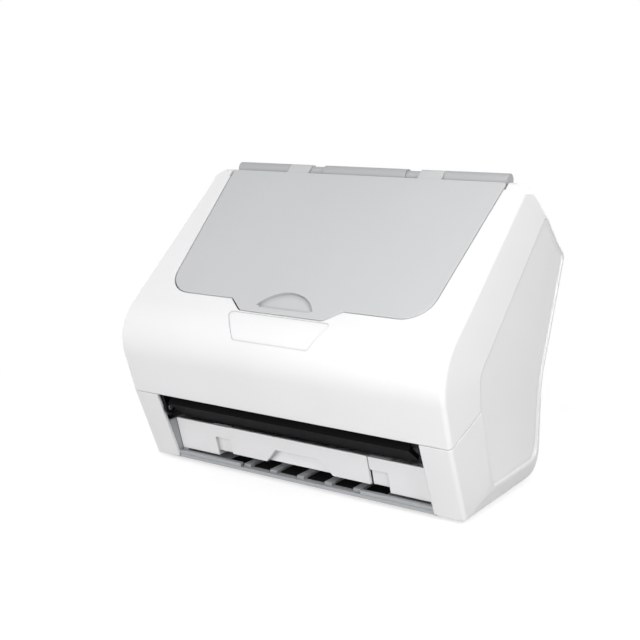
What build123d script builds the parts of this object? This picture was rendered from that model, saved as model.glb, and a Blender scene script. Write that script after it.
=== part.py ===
from build123d import *
from math import acos, atan2, cos, hypot, pi, radians, sin, tan
import os

# Desktop sheet-fed document scanner with a hinged feed tray, closed as it stands in use.
# Every size is in millimetres. Shapes are drawn with Y running back from the seam between
# front cover and base, Z up from the casing's bottom and X to the right. The finished
# pieces are moved to the origin under the middle of the feet when they are written.

# Widths, each counted from the middle and built up from the sheet outwards
paper_half_width = 108.3
guide_margin = 9.2
guide_narrow = paper_half_width + guide_margin          # the lower guide in the exit slot
upper_margin = 6.5
upper_half_width = guide_narrow + upper_margin          # the cover's inner moulding
bay_clearance = 3.4
bay_half_width = upper_half_width + bay_clearance       # opening between the pillars
bay_wall = 2.5
frame_clearance = 1.1
frame_inner = bay_half_width + bay_wall + frame_clearance
frame_thickness = 2.0
gear_width = 4.5
gear_clearance = 2.0             # between the frame and the first gears
gear_space = 1.0                 # between one plane of gears and the next
roller_gear_plane = frame_inner + frame_thickness + gear_clearance
feed_gear_plane = roller_gear_plane + gear_width + gear_space
motor_gear_plane = feed_gear_plane + gear_width + gear_space
wall = 2.5
crease_half_width = motor_gear_plane + gear_width + gear_space + wall
band_rise = 6.0                  # how far the side bands stand out from crease to rim
rim_half_width = crease_half_width + band_rise
arm_clearance = 4.2
arm_inner = frame_inner + frame_thickness + arm_clearance    # the front cover's side arms
shoulder_half_width = arm_inner - 1.2                        # the shoulders start here
rear_half_width = arm_inner - 0.8
floor_inset = 8.0
floor_half_width = crease_half_width - floor_inset

# Overall body
far = 340.0                      # beyond the whole scanner, for cuts that run right through
foot_drop = 3.0                  # how far the rubber feet reach below the casing
seam_height = 63.5
foot_setback = 27.6              # the base's front face leans back by this much
brow = (-20.9, 125.4)            # corner of the two front faces before its big round
brow_radius = 42.0
tray_slope = 40.4                # degrees, the tray and the upper front face
ridge_y = 127.0
ridge_radius = 8.0
crease_radius = 4.0              # the round where front faces and side bands meet
crease_steps = 3
rear_shoulder = (162.0, 210.0)
rear_shoulder_radius = 40.0
rear_knee = (203.0, 187.0)
rear_knee_radius = 9.0
rear_waist = (168.0, 83.0)
rear_waist_radius = 70.0
rear_bottom_radius = 22.0
shoulder_top = 252.0
shoulder_side = 233.0

# Side rim: the border slopes from the outer outline up to this inner outline
rim_front_bottom = (60.0, 17.0)
rim_seam_corner = (37.0, 85.0)
rim_brow = (33.5, 113.0)
rim_ridge = (148.0, 221.0)
rim_shoulder = (171.0, 199.0)
rim_knee = (190.0, 184.0)
rim_waist = (151.5, 85.0)
rim_bottom_rear = (149.5, 17.0)
rim_lip = 2.6
band_width = 39.0                # of the side band, from the crease to the rim
panel_sink = 1.8                 # depth of the side panel at its far corner
seam_gap = 1.0

# Paper path, a straight plane from the feed mouth down to the exit slot
path_exit = (2.0, 58.0)
path_angle = 55.3                # degrees above the horizontal
path_half_gap = 1.5
guide_plate = 2.0
path_top = 222.0                 # distance along the path where the support ends

# Opening between the pillars, and the drawer-like output tray in it
bay_wall_height = 37.0
floor_thickness = 3.0
sill_height = 6.0
sill_depth = 5.0
chassis_rear = 150.0

# Feed tray and its hinge
tray_foot = (12.3, 153.8)        # lower edge of the tray's outer face
tray_length = 146.0
tray_taper = 12.5                # how much narrower the tray is at its foot, on each side
tray_half_width_top = arm_inner - 1.7
tray_half_width_low = tray_half_width_top - tray_taper
tray_thickness = 6.5
tray_corner_radius = 24.0
tray_gap = 0.9
hinge_along = 153.7              # the hinge line, measured along the tray from its foot
barrel_radius = 6.0
tray_pin_radius = 2.0
knuckle_inner = 54.8
knuckle_outer = 77.0
running_gap = 0.3
shaft_clearance = 0.05

# Front cover's own hinge, hidden behind its lower lip
cover_axis = (13.0, 50.0)
cover_pin_radius = 2.5
hinge_arm_radius = 6.0
hinge_arm_top = 30.0             # how far up the path the hinge arms are riveted to the cheeks
hinge_arm_depth = 16.0
cheek = 2.5
arm_thickness = 2.5

# Steel side frames that carry the shafts
bush_radius = 5.0
bush_length = 4.5

# Rollers: distance along the path, tyre radius
exit_roll = (16.0, 7.0)
lower_sensor_at = 32.5
upper_sensor_at = 45.0
middle_roll = (62.0, 7.0)
feed_roll = (79.0, 11.0)
separation_radius = 9.0
idler_radius = 5.0
drive_shaft_radius = 3.0
idler_shaft_radius = 2.0
tyre_width = 20.0
tyre_places = (-90.0, -45.0, 45.0, 90.0)

# Gear train on the right-hand frame
gear_module = 1.0
pressure_angle = 20.0
addendum = 0.75
dedendum = 1.2
backlash = 0.24
motor_teeth = 12
reduction_teeth = 40
small_teeth = 16
middle_teeth = 26
transfer_teeth = 21
exit_teeth = 26
feed_teeth = 42
guide_teeth = 24
motor_direction = -10.0          # degrees, from the reduction gear to the motor
motor_size = 42.0
motor_length = 34.0
motor_boss_radius = 11.0
motor_shaft_radius = 2.5
stud_radius = 3.0
nip = 0.15                       # half the gap left between facing rollers

# Lip, thumb recess and pocket at the tray's foot
lip_half_width = 53.5
lip_foot_half_width = 40.0
lip_reach = 11.0
lip_slot = 4.0
thumb_radius = 31.0
thumb_drop = 19.0
thumb_depth = 2.6
pocket_depth = 0.7
pocket_half_width = 50.0
pocket_height = 24.0

# Inner panel that closes the hollow of the feed tray
panel_from = 16.0
panel_to = 139.0
panel_border = 5.0
panel_thickness = 2.0
tray_wall = 2.5
tray_rib_pitch = 26.0
tray_rib = 0.8

# Hinge rail
lug_inner = 41.2
pin_grip = 8.0
rail_drop = 12.5                 # the rail's foot below the hinge line

# Casing joints
floor_wide_from = 40.5

# Rear wall: sockets, switch and vents
port_z = 50.0
port_half_height = 5.5
port_gap = 0.3
inlet_half = 7.0
usb_half = 6.0
switch_half = 9.0
switch_half_height = 6.0
socket_seat = 0.4                # how far the sockets' faces lie inside the rear face
board_left = 12.4 - rear_half_width
board_right = board_left + 158.0
inlet_x = board_left + 20.0
usb_x = board_left + 48.0
switch_x = board_left + 74.0
rocker_half = 6.4
rocker_pin_radius = 0.9
rocker_pin_reach = rocker_half + 1.8
vent_count = 14
vent_start = 10.0
vent_pitch = 7.5
vent_length = 30.0
vent_width = 3.0
vent_z = 62.0
board_y = 152.0
board_thickness = 1.6
processor = (28.0, 28.0, 2.4)    # width, height and thickness
memory_chip = (16.0, 14.0, 1.6)
plug_socket = (18.0, 7.0, 7.0)
capacitor_radius = 4.0
capacitor_height = 10.0
board_low = 40.0
board_high = 122.0

# Lower guide and its sliding paper guides
guide_wide_from = 34.0
guides_at = 122.0
guide_length = 44.0
guide_height = 17.0
guide_travel = 80.0
rack_body = 5.0
rack_tail = paper_half_width + 1.7
rack_tip = 13.0
rack_thickness = 3.0
guide_round = 9.0
sole_reach = 12.0
sole_thickness = 1.2
stem_width = 3.0
stem_reach = 4.0                 # how far the stem runs inwards from the guide's wall
stem_play = 1.0
pinion_boss = 3.0

# Sensors
sensor_half_length = guide_narrow - 2.5
sensor_half_width = 7.5

# Feed and separation rollers
feed_half_width = 17.0
holder_from = 64.5

# Upper frame
upper_path_start = 7.0
upper_path_top = 88.0
deck_front = (8.0, 141.0)

# Cover latch
latch_at = (71.0, 20.0)
latch_radius = 2.5
hook_outer = upper_half_width - 8.0
hook_inner = hook_outer - 4.0
hook_low = 69.5
hook_high = 76.0
hook_neck = 4.0
lever_outer = hook_inner - 4.0
lever_inner = lever_outer - 10.0
lever_tip = (27.0, 143.5)

# Frames' feet and their screws
frame_foot = 14.0
frame_foot_from = 46.0
frame_foot_to = 140.0
frame_hole = (26.0, 28.0)
frame_holes = ((110.0, 60.0), (118.0, 122.0), (124.0, 160.0))
screw_radius = 1.5
screw_head = 3.0
screw_sink = 1.8

# Rubber feet
foot_front = (bay_half_width - 43.4, floor_wide_from + 0.5)
foot_rear = (bay_half_width - 15.4, chassis_rear - 18.0)
foot_rear_radius = 9.0

# Output tray and its extension
drawer_half_width = bay_half_width - 0.6
drawer_deck = 8.0
drawer_rail_top = 13.0
runner_inner = bay_half_width - 5.9
sill_gap_half = 60.0
floor_rib = 7.0
floor_rib_pitch = 27.5
lip_top = (23.5, 37.5)
lip_lean = 0.296
notch_outer = 86.0
notch_top = 26.0
notch_low = 12.0
finger_depth = 58.0
extension_lip_half = 69.0
extension_half = 66.0
extension_deck = 12.5
scoop_top = 25.5
scoop_top_half = 22.0
scoop_low_half = 34.0
scoop_depth = 8.0


def on_path(along, off=0.0):
    """The (y, z) of a point on the paper path, off it towards the front cover."""
    c, s = cos(radians(path_angle)), sin(radians(path_angle))
    return (path_exit[0] + along * c - off * s, path_exit[1] + along * s + off * c)


def on_tray(along, off=0.0):
    """The (y, z) of a point on the closed tray's outer face, off it outwards."""
    c, s = cos(radians(tray_slope)), sin(radians(tray_slope))
    return (tray_foot[0] + along * c - off * s, tray_foot[1] + along * s + off * c)


PATH = Plane(
    origin=(0, path_exit[0], path_exit[1]),
    x_dir=(1, 0, 0),
    z_dir=(0, -sin(radians(path_angle)), cos(radians(path_angle))),
)
SLOPE = Plane(
    origin=(0, tray_foot[0], tray_foot[1]),
    x_dir=(1, 0, 0),
    z_dir=(0, -sin(radians(tray_slope)), cos(radians(tray_slope))),
)


def outline(points, radii=0.0):
    """A closed face whose corners are rounded by the radii given."""
    if isinstance(radii, (int, float)):
        radii = [radii] * len(points)
    return make_face(FilletPolyline(*points, radius=list(radii), close=True))


def prism(face, x0, x1):
    """A face drawn in (y, z), extruded across the scanner from x0 to x1."""
    return extrude(Plane.YZ.offset(x0) * face, x1 - x0)


def bar(centre, radius, x0, x1):
    """A round bar across the scanner between x0 and x1."""
    return prism(Pos(centre[0], centre[1]) * Circle(radius), x0, x1)


def tube(centre, radius, bore, x0, x1):
    """A round tube across the scanner between x0 and x1."""
    ring = Circle(radius) - Circle(bore)
    return prism(Pos(centre[0], centre[1]) * ring, x0, x1)


def block(x0, x1, y0, y1, z0, z1):
    """A box between two corners."""
    size = Box(x1 - x0, y1 - y0, z1 - z0)
    return Pos((x0 + x1) / 2, (y0 + y1) / 2, (z0 + z1) / 2) * size


def plate_on(plane, face, off0, off1):
    """A face drawn on a sloping plane, made solid between two offsets from it."""
    return extrude(plane.offset(off0) * face, off1 - off0)


def window(x0, x1, s0, s1, radius=0.0):
    """A rectangle on a sloping plane, between two X and two distances along it."""
    shape = Rectangle(x1 - x0, s1 - s0)
    if radius:
        shape = RectangleRounded(x1 - x0, s1 - s0, radius)
    return Pos((x0 + x1) / 2, (s0 + s1) / 2) * shape


def group(pieces):
    """Several separate solids as one piece."""
    whole = pieces[0]
    for piece in pieces[1:]:
        whole += piece
    return whole


def both_sides(piece):
    """A piece and its mirror image on the other side of the scanner."""
    return piece + mirror(piece, Plane.YZ)


# Master body: one outer form and one inner void, which the casing pieces are cut from

def ridge_z():
    return brow[1] + (ridge_y - brow[0]) * tan(radians(tray_slope))


def side_outline():
    points = [
        (foot_setback, 0.0),
        (0.0, seam_height),
        brow,
        (ridge_y, ridge_z()),
        rear_shoulder,
        rear_knee,
        rear_waist,
        (rear_waist[0], 0.0),
    ]
    radii = [0.0, 0.0, brow_radius, ridge_radius, rear_shoulder_radius, rear_knee_radius,
             rear_waist_radius, rear_bottom_radius]
    return outline(points, radii)


def rim_outline():
    points = [rim_front_bottom, rim_seam_corner, rim_brow, rim_ridge, rim_shoulder, rim_knee,
              rim_waist, rim_bottom_rear]
    radii = [0.0, 0.0, 14.0, 3.0, 18.0, 6.0, 60.0, 12.0]
    return outline(points, radii)


def shoulders():
    """The front view's outline, which takes the sharp corners off the ridge."""
    middle = (shoulder_half_width + rim_half_width) / 2 + 1.5
    high = shoulder_side + 0.62 * (shoulder_top - shoulder_side)
    side = rim_half_width + 5
    right = Line((0, far), (shoulder_half_width, far))
    right += Line((shoulder_half_width, far), (shoulder_half_width, shoulder_top))
    right += ThreePointArc(
        (shoulder_half_width, shoulder_top), (middle, high), (rim_half_width + 0.5, shoulder_side)
    )
    right += Polyline(
        (rim_half_width + 0.5, shoulder_side), (side, shoulder_side), (side, -far), (0, -far)
    )
    half = make_face(right + Line((0, -far), (0, far)))
    whole = half + mirror(half, Plane.YZ)
    return extrude(Plane.XZ.offset(far) * whole, -2 * far)


def crease_sections(outer):
    """The shrinking outlines that round the crease over into the sloping side band."""
    slope = atan2(rim_half_width - crease_half_width, band_width)
    stop = pi / 2 - slope
    sections = []
    for i in range(crease_steps + 1):
        turn = stop * i / crease_steps
        x = crease_half_width + crease_radius * (sin(turn) - tan(stop / 2))
        inset = crease_radius * (1 - cos(turn))
        face = offset(outer, -inset).face() if i else outer
        sections.append((Plane.YZ.offset(x), face))
    return sections


def master_outside():
    outer = side_outline()
    sections = crease_sections(outer)
    crease = loft([plane * face for plane, face in sections])
    rim = Plane.YZ.offset(rim_half_width) * rim_outline()
    plane, face = sections[-1]
    cap = loft([plane * face, rim], ruled=True)
    straight = sections[0][0].origin.X
    middle = prism(outer, -straight, straight)
    return (middle + both_sides(crease + cap)) & shoulders()


def master_void():
    outer = offset(side_outline(), -wall, kind=Kind.INTERSECTION)
    rim = offset(rim_outline(), -wall / 2, kind=Kind.INTERSECTION)
    body = prism(outer, -crease_half_width + wall, crease_half_width - wall)
    ends = prism(rim, crease_half_width - wall, rim_half_width - wall - panel_sink)
    return (body + both_sides(ends)) & (Pos(0, 0, -wall) * shoulders())


def cover_region():
    """What belongs to the front cover, seen from the side."""
    points = [
        (-far, seam_height),
        (0.0, seam_height),
        rim_seam_corner,
        rim_brow,
        rim_ridge,
        (rim_ridge[0] + 30, rim_ridge[1] + 28),
        (rim_ridge[0] + 30, far),
        (-far, far),
    ]
    return outline(points, [0.0, 0.0, 0.0, 14.0, 0.0, 0.0, 0.0, 0.0])


def cover_prism():
    face = offset(cover_region(), -seam_gap / 2, kind=Kind.INTERSECTION)
    return prism(face, -far, far)


def base_prism():
    face = offset(cover_region(), seam_gap / 2, kind=Kind.INTERSECTION)
    return Box(2 * far, 4 * far, 4 * far) - prism(face, -2 * far, 2 * far)


def lid_outline(gap=0.0):
    """The feed tray's outline on its own slope: a trapezoid with a lip at its foot."""
    points = [
        (-tray_half_width_low, 0.0),
        (tray_half_width_low, 0.0),
        (tray_half_width_top, tray_length),
        (-tray_half_width_top, tray_length),
    ]
    face = outline(points, [tray_corner_radius, tray_corner_radius, 3.0, 3.0])
    lip = outline(
        [(-lip_half_width, 3.0), (-lip_half_width, 0.0), (-lip_foot_half_width, -lip_reach),
         (lip_foot_half_width, -lip_reach), (lip_half_width, 0.0), (lip_half_width, 3.0)],
        [0.0, 0.0, 5.0, 5.0, 0.0, 0.0],
    )
    face = face + lip
    if gap:
        face = offset(face, gap, kind=Kind.ARC)
    return face


def label_pocket():
    """The bare shallow pocket under the lip, which follows the round of the brow."""
    reach = pocket_half_width + 10
    skin = prism(side_outline(), -reach, reach)
    skin -= prism(offset(side_outline(), -pocket_depth), -reach - 1, reach + 1)
    top, low = -lip_reach - 2.0, -lip_reach - 2.0 - pocket_height
    shape = outline(
        [(-pocket_half_width, top), (-pocket_half_width + 14, low),
         (pocket_half_width - 14, low), (pocket_half_width, top)], 3.0)
    return skin & plate_on(SLOPE, shape, -25, 10)


def front_cover(shell, outside):
    cover = shell & cover_prism()
    arm_top = on_tray(tray_length)
    walls = block(arm_inner, arm_inner + wall, -far, far, tray_foot[1] - 8, far)
    cover += outside & cover_prism() & both_sides(walls)
    cover -= plate_on(SLOPE, lid_outline(tray_gap), -30, 30)
    cover -= block(-arm_inner, arm_inner, arm_top[0] - 6, far, arm_top[1] - 70, far)
    cover -= label_pocket()
    return cover


def side_panel_cut():
    """A tilted slice, deepest at the panel's low rear corner, that sinks the side panel."""
    face = offset(rim_outline(), -rim_lip, kind=Kind.ARC)
    dy, dz = rim_ridge[0] - rim_seam_corner[0], rim_ridge[1] - rim_seam_corner[1]
    length = hypot(dy, dz)
    across = (dz / length, -dy / length)
    reach = (rim_bottom_rear[0] - rim_seam_corner[0]) * across[0]
    reach += (rim_bottom_rear[1] - rim_seam_corner[1]) * across[1]
    normal = (1.0, across[0] * panel_sink / reach, across[1] * panel_sink / reach)
    plane = Plane(origin=(rim_half_width, rim_seam_corner[0], rim_seam_corner[1]), z_dir=normal)
    slab = extrude(plane * Rectangle(2 * far, 2 * far), 10)
    return prism(face, rim_half_width - 8, rim_half_width + 8) & slab


def side_cover(shell):
    """The right-hand side cover, with the pillar in front and the sunken panel."""
    side = shell & base_prism()
    rear_edge = rear_half_width + 0.4
    keep = block(rear_edge, far, -far, far, -far, far)
    keep += block(bay_half_width, rear_edge + 1, -far, floor_wide_from - 0.3, -far, rim_brow[1])
    side = side & keep
    low = wall + 1
    side -= block(0, bay_half_width + bay_wall + 0.4, foot_setback, floor_wide_from, -far, low)
    side -= block(0, floor_half_width + 0.4, floor_wide_from - 0.4, chassis_rear + 0.6, -far, low)
    side -= side_panel_cut()
    return side


def rear_cover(shell):
    top = hinge_axis()[0] + barrel_radius + 0.8
    keep = block(-rear_half_width, rear_half_width, chassis_rear + 0.6, far, -far, far)
    keep += block(-rear_half_width, rear_half_width, top, far, port_z, far)
    cover = shell & keep
    for x, half, height in ((inlet_x, inlet_half, port_half_height),
                            (usb_x, usb_half, port_half_height),
                            (switch_x, switch_half, switch_half_height)):
        across, up = half + port_gap, height + port_gap
        cover -= block(x - across, x + across, board_y, far, port_z - up, port_z + up)
    for i in range(vent_count):
        slot = Pos(vent_start + i * vent_pitch, vent_z) * SlotOverall(vent_length, vent_width, rotation=90)
        cover -= extrude(Plane.XZ.offset(-far) * slot, far - board_y)
    return cover


def hinge_axis():
    return on_tray(hinge_along, -tray_thickness + 0.1)


def hinge_rail():
    """The grey rail along the ridge, whose barrels line up with the tray's knuckles."""
    axis = hinge_axis()
    end = shoulder_half_width - 2.0
    low = axis[1] - rail_drop
    strip = outline(
        [(axis[0] + 0.6, low), (axis[0] + barrel_radius + 0.5, low),
         (axis[0] + barrel_radius + 0.5, axis[1] - 7.0), (axis[0] + 0.6, axis[1] - 7.0)])
    neck = outline(
        [(axis[0] + 0.6, low), (axis[0] + barrel_radius + 0.5, low),
         (axis[0] + barrel_radius, axis[1]), (axis[0] + 1.0, axis[1])])
    bore = tray_pin_radius + shaft_clearance
    lug = barrel_radius - 1.3
    inner, outer = knuckle_inner - running_gap, knuckle_outer + running_gap
    rail = prism(strip, -end, end)
    rail += prism(neck, -inner, inner)
    rail += bar(axis, barrel_radius, -lug_inner, lug_inner)
    rail += bar(axis, lug, -inner, inner)
    rail += both_sides(prism(neck, outer, end) + bar(axis, barrel_radius, outer, end))
    rail -= both_sides(bar(axis, bore, knuckle_inner - pin_grip, knuckle_outer + pin_grip))
    return rail


def tray_pins():
    """Steel hinge pins, each through one knuckle and into the rail on both sides of it."""
    return both_sides(bar(hinge_axis(), tray_pin_radius, knuckle_inner - pin_grip + 0.2,
                          knuckle_outer + pin_grip - 0.2))


def feed_tray():
    """The grey lid that opens back into the feed tray, with a pocket for its extension."""
    tray = plate_on(SLOPE, lid_outline(), -tray_thickness, 0)
    tray = chamfer(tray.faces().sort_by(Axis((0, 0, 0), SLOPE.z_dir))[-1].edges(), 0.5)
    thumb = Pos(0, -thumb_drop) * Circle(thumb_radius)
    thumb &= Pos(0, 30 - lip_slot) * Rectangle(120, 60)
    tray -= plate_on(SLOPE, thumb, -thumb_depth, 1)
    tray -= plate_on(SLOPE, window(-24, 24, -lip_slot - 1.6, -lip_slot), -tray_thickness, 1)
    tray -= plate_on(SLOPE, panel_face(0.2), -tray_thickness - 1, -tray_thickness + panel_thickness)
    tray -= plate_on(SLOPE, panel_face(-2.0), -tray_thickness, -tray_wall)
    axis = hinge_axis()
    arm = outline([on_tray(tray_length - 6, -0.5), on_tray(hinge_along, -0.5),
                   on_tray(hinge_along + 2, -tray_thickness), on_tray(tray_length - 6, -tray_thickness)])
    arm = arm + Pos(axis[0], axis[1]) * Circle(barrel_radius)
    knuckle = prism(arm, knuckle_inner, knuckle_outer)
    tray += both_sides(knuckle)
    tray -= both_sides(bar(axis, tray_pin_radius + shaft_clearance, knuckle_inner - 1,
                           knuckle_outer + 1))
    return tray


def panel_face(grow=0.0):
    """The inner panel's outline, which follows the tray's own taper."""
    spread = (tray_half_width_top - tray_half_width_low) / tray_length
    low = tray_half_width_low + spread * panel_from - panel_border
    high = tray_half_width_low + spread * panel_to - panel_border
    face = outline([(-low, panel_from), (low, panel_from), (high, panel_to), (-high, panel_to)],
                   [18.0, 18.0, 4.0, 4.0])
    if grow:
        face = offset(face, grow, kind=Kind.ARC)
    return face


def tray_panel():
    """The panel let into the tray's inner face, ribbed so that sheets slide down it."""
    panel = plate_on(SLOPE, panel_face(), -tray_thickness, -tray_thickness + panel_thickness)
    for i in range(-4, 5):
        rib = window(i * tray_rib_pitch - 1, i * tray_rib_pitch + 1, panel_from + 8, panel_to - 8)
        panel += plate_on(SLOPE, rib, -tray_thickness - tray_rib, -tray_thickness)
    return panel


# Gears

def involute(angle):
    return tan(angle) - angle


def gear_face(teeth, turn):
    """A spur gear's outline in (y, z), with a tooth centred at an angle in degrees."""
    pitch_radius = gear_module * teeth / 2
    base = pitch_radius * cos(radians(pressure_angle))
    tip = pitch_radius + addendum * gear_module
    root = pitch_radius - dedendum * gear_module
    half_at_pitch = pi / (2 * teeth) - backlash / (2 * pitch_radius)
    start = max(base, root)
    radii = [start, pitch_radius, tip]
    rise = []
    for radius in radii:
        angle = acos(min(1.0, base / radius))
        half = half_at_pitch + involute(radians(pressure_angle)) - involute(angle)
        rise.append((radius, half))
    if root < base:
        rise.insert(0, (root, rise[0][1]))
    points = []
    for tooth in range(teeth):
        centre = radians(turn) + 2 * pi * tooth / teeth
        for radius, half in rise:
            points.append((radius * cos(centre - half), radius * sin(centre - half)))
        for radius, half in reversed(rise):
            points.append((radius * cos(centre + half), radius * sin(centre + half)))
    return make_face(Polyline(*points, close=True))


def spur_gear(centre, teeth, turn, x0, bore, web=0.0):
    """A spur gear on a shaft, with an optional recess between hub and rim."""
    face = Pos(centre[0], centre[1]) * (gear_face(teeth, turn) - Circle(bore))
    gear = prism(face, x0, x0 + gear_width)
    if web:
        ring = Circle(gear_module * teeth / 2 - 3.2) - Circle(bore + 3.0)
        ring = Pos(centre[0], centre[1]) * ring
        gear -= prism(ring, x0 - 1, x0 + web)
        gear -= prism(ring, x0 + gear_width - web, x0 + gear_width + 1)
    return gear


def mesh_turn(first, first_teeth, first_turn, second, second_teeth):
    """The turn, in degrees, that puts a second gear's gap over a first gear's tooth."""
    line = atan2(second[1] - first[1], second[0] - first[0])
    ahead = (line - radians(first_turn)) * first_teeth / second_teeth
    return (line + pi + ahead + pi / second_teeth) * 180 / pi


def third_point(first, first_reach, second, second_reach, side):
    """The point at two given distances from two others, on the side chosen by a sign."""
    dy, dz = second[0] - first[0], second[1] - first[1]
    span = hypot(dy, dz)
    along = (first_reach ** 2 - second_reach ** 2 + span ** 2) / (2 * span)
    across = (first_reach ** 2 - along ** 2) ** 0.5 * side
    return (first[0] + (along * dy - across * dz) / span, first[1] + (along * dz + across * dy) / span)


def centre_distance(first_teeth, second_teeth):
    return gear_module * (first_teeth + second_teeth) / 2


def exit_centre():
    return on_path(exit_roll[0], -exit_roll[1] - nip)


def middle_centre():
    return on_path(middle_roll[0], -middle_roll[1] - nip)


def feed_centre():
    return on_path(feed_roll[0], -feed_roll[1] - nip)


def reduction_centre():
    return third_point(middle_centre(), centre_distance(small_teeth, middle_teeth),
                       feed_centre(), centre_distance(small_teeth, feed_teeth), -1)


def transfer_centre():
    return third_point(middle_centre(), centre_distance(middle_teeth, transfer_teeth),
                       exit_centre(), centre_distance(transfer_teeth, exit_teeth), 1)


def motor_centre():
    reach = centre_distance(motor_teeth, reduction_teeth)
    centre = reduction_centre()
    turn = radians(motor_direction)
    return (centre[0] + reach * cos(turn), centre[1] + reach * sin(turn))


def gear_turns():
    """Each gear's turn at rest, worked out along the train from the middle shaft."""
    turns = {"middle": 0.0}
    turns["small"] = mesh_turn(middle_centre(), middle_teeth, 0.0, reduction_centre(), small_teeth)
    turns["motor"] = mesh_turn(reduction_centre(), reduction_teeth, turns["small"],
                               motor_centre(), motor_teeth)
    turns["feed"] = mesh_turn(reduction_centre(), small_teeth, turns["small"], feed_centre(), feed_teeth)
    turns["transfer"] = mesh_turn(middle_centre(), middle_teeth, 0.0, transfer_centre(), transfer_teeth)
    turns["exit"] = mesh_turn(transfer_centre(), transfer_teeth, turns["transfer"], exit_centre(), exit_teeth)
    return turns


# Structure inside the base

def side_frame():
    """The right-hand steel frame, below the paper path, with its bent foot."""
    inside = offset(side_outline(), -wall - 0.6, kind=Kind.INTERSECTION)
    lug = cover_axis
    rail_front, rail_bottom = hinge_axis()[0] + 0.6, hinge_axis()[1] - rail_drop
    shape = outline(
        [(lug[0] - 5, lug[1] - 5), (lug[0] - 5, lug[1] + 6), on_path(5, 0.5),
         on_path(path_top - 6, 0.5), (rail_front - 3, rail_bottom), (chassis_rear - 4, rail_bottom),
         (chassis_rear - 4, floor_thickness), (frame_foot_from, floor_thickness),
         (frame_foot_from, 30.0)])
    shape &= inside
    for centre in frame_holes:
        shape -= Pos(centre[0], centre[1]) * RectangleRounded(frame_hole[0], frame_hole[1], 6)
    for centre in (exit_centre(), middle_centre(), feed_centre()):
        shape -= Pos(centre[0], centre[1]) * Circle(bush_radius)
    shape -= Pos(lug[0], lug[1]) * Circle(cover_pin_radius)
    plate = prism(shape, frame_inner, frame_inner + frame_thickness)
    foot = block(frame_inner, frame_inner + frame_foot, frame_foot_from, frame_foot_to,
                 floor_thickness, floor_thickness + frame_thickness)
    plate += foot
    for x, y in screw_places():
        plate -= Pos(x, y, floor_thickness) * Cylinder(screw_radius + 0.05, 8)
    return plate


def screw_places():
    x = frame_inner + frame_foot / 2 + frame_thickness / 2
    return [(x, frame_foot_from + 10.0), (x, frame_foot_to - 10.0)]


def right_frame():
    """The right frame also holds the motor and the gear studs."""
    plate = side_frame()
    for centre, radius in ((motor_centre(), motor_boss_radius + 0.1),
                           (reduction_centre(), stud_radius), (transfer_centre(), stud_radius)):
        plate -= bar(centre, radius, 0, far)
    return plate


def left_frame():
    return mirror(side_frame(), Plane.YZ)


def gear_studs():
    studs = bar(reduction_centre(), stud_radius, frame_inner, motor_gear_plane + gear_width + 0.4)
    studs += bar(transfer_centre(), stud_radius, frame_inner, roller_gear_plane + gear_width + 0.4)
    return studs


def shaft_bushes():
    bushes = []
    for centre in (exit_centre(), middle_centre(), feed_centre()):
        ring = tube(centre, bush_radius - shaft_clearance, drive_shaft_radius + shaft_clearance,
                    frame_inner - 0.7, frame_inner - 0.7 + bush_length)
        bushes += [ring, mirror(ring, Plane.YZ)]
    return group(bushes)


def cover_pins():
    """Steel pins in the frames that the front cover's arms turn on."""
    pin = bar(cover_axis, cover_pin_radius, upper_half_width - 0.6, frame_inner + frame_thickness)
    return both_sides(pin)


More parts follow.
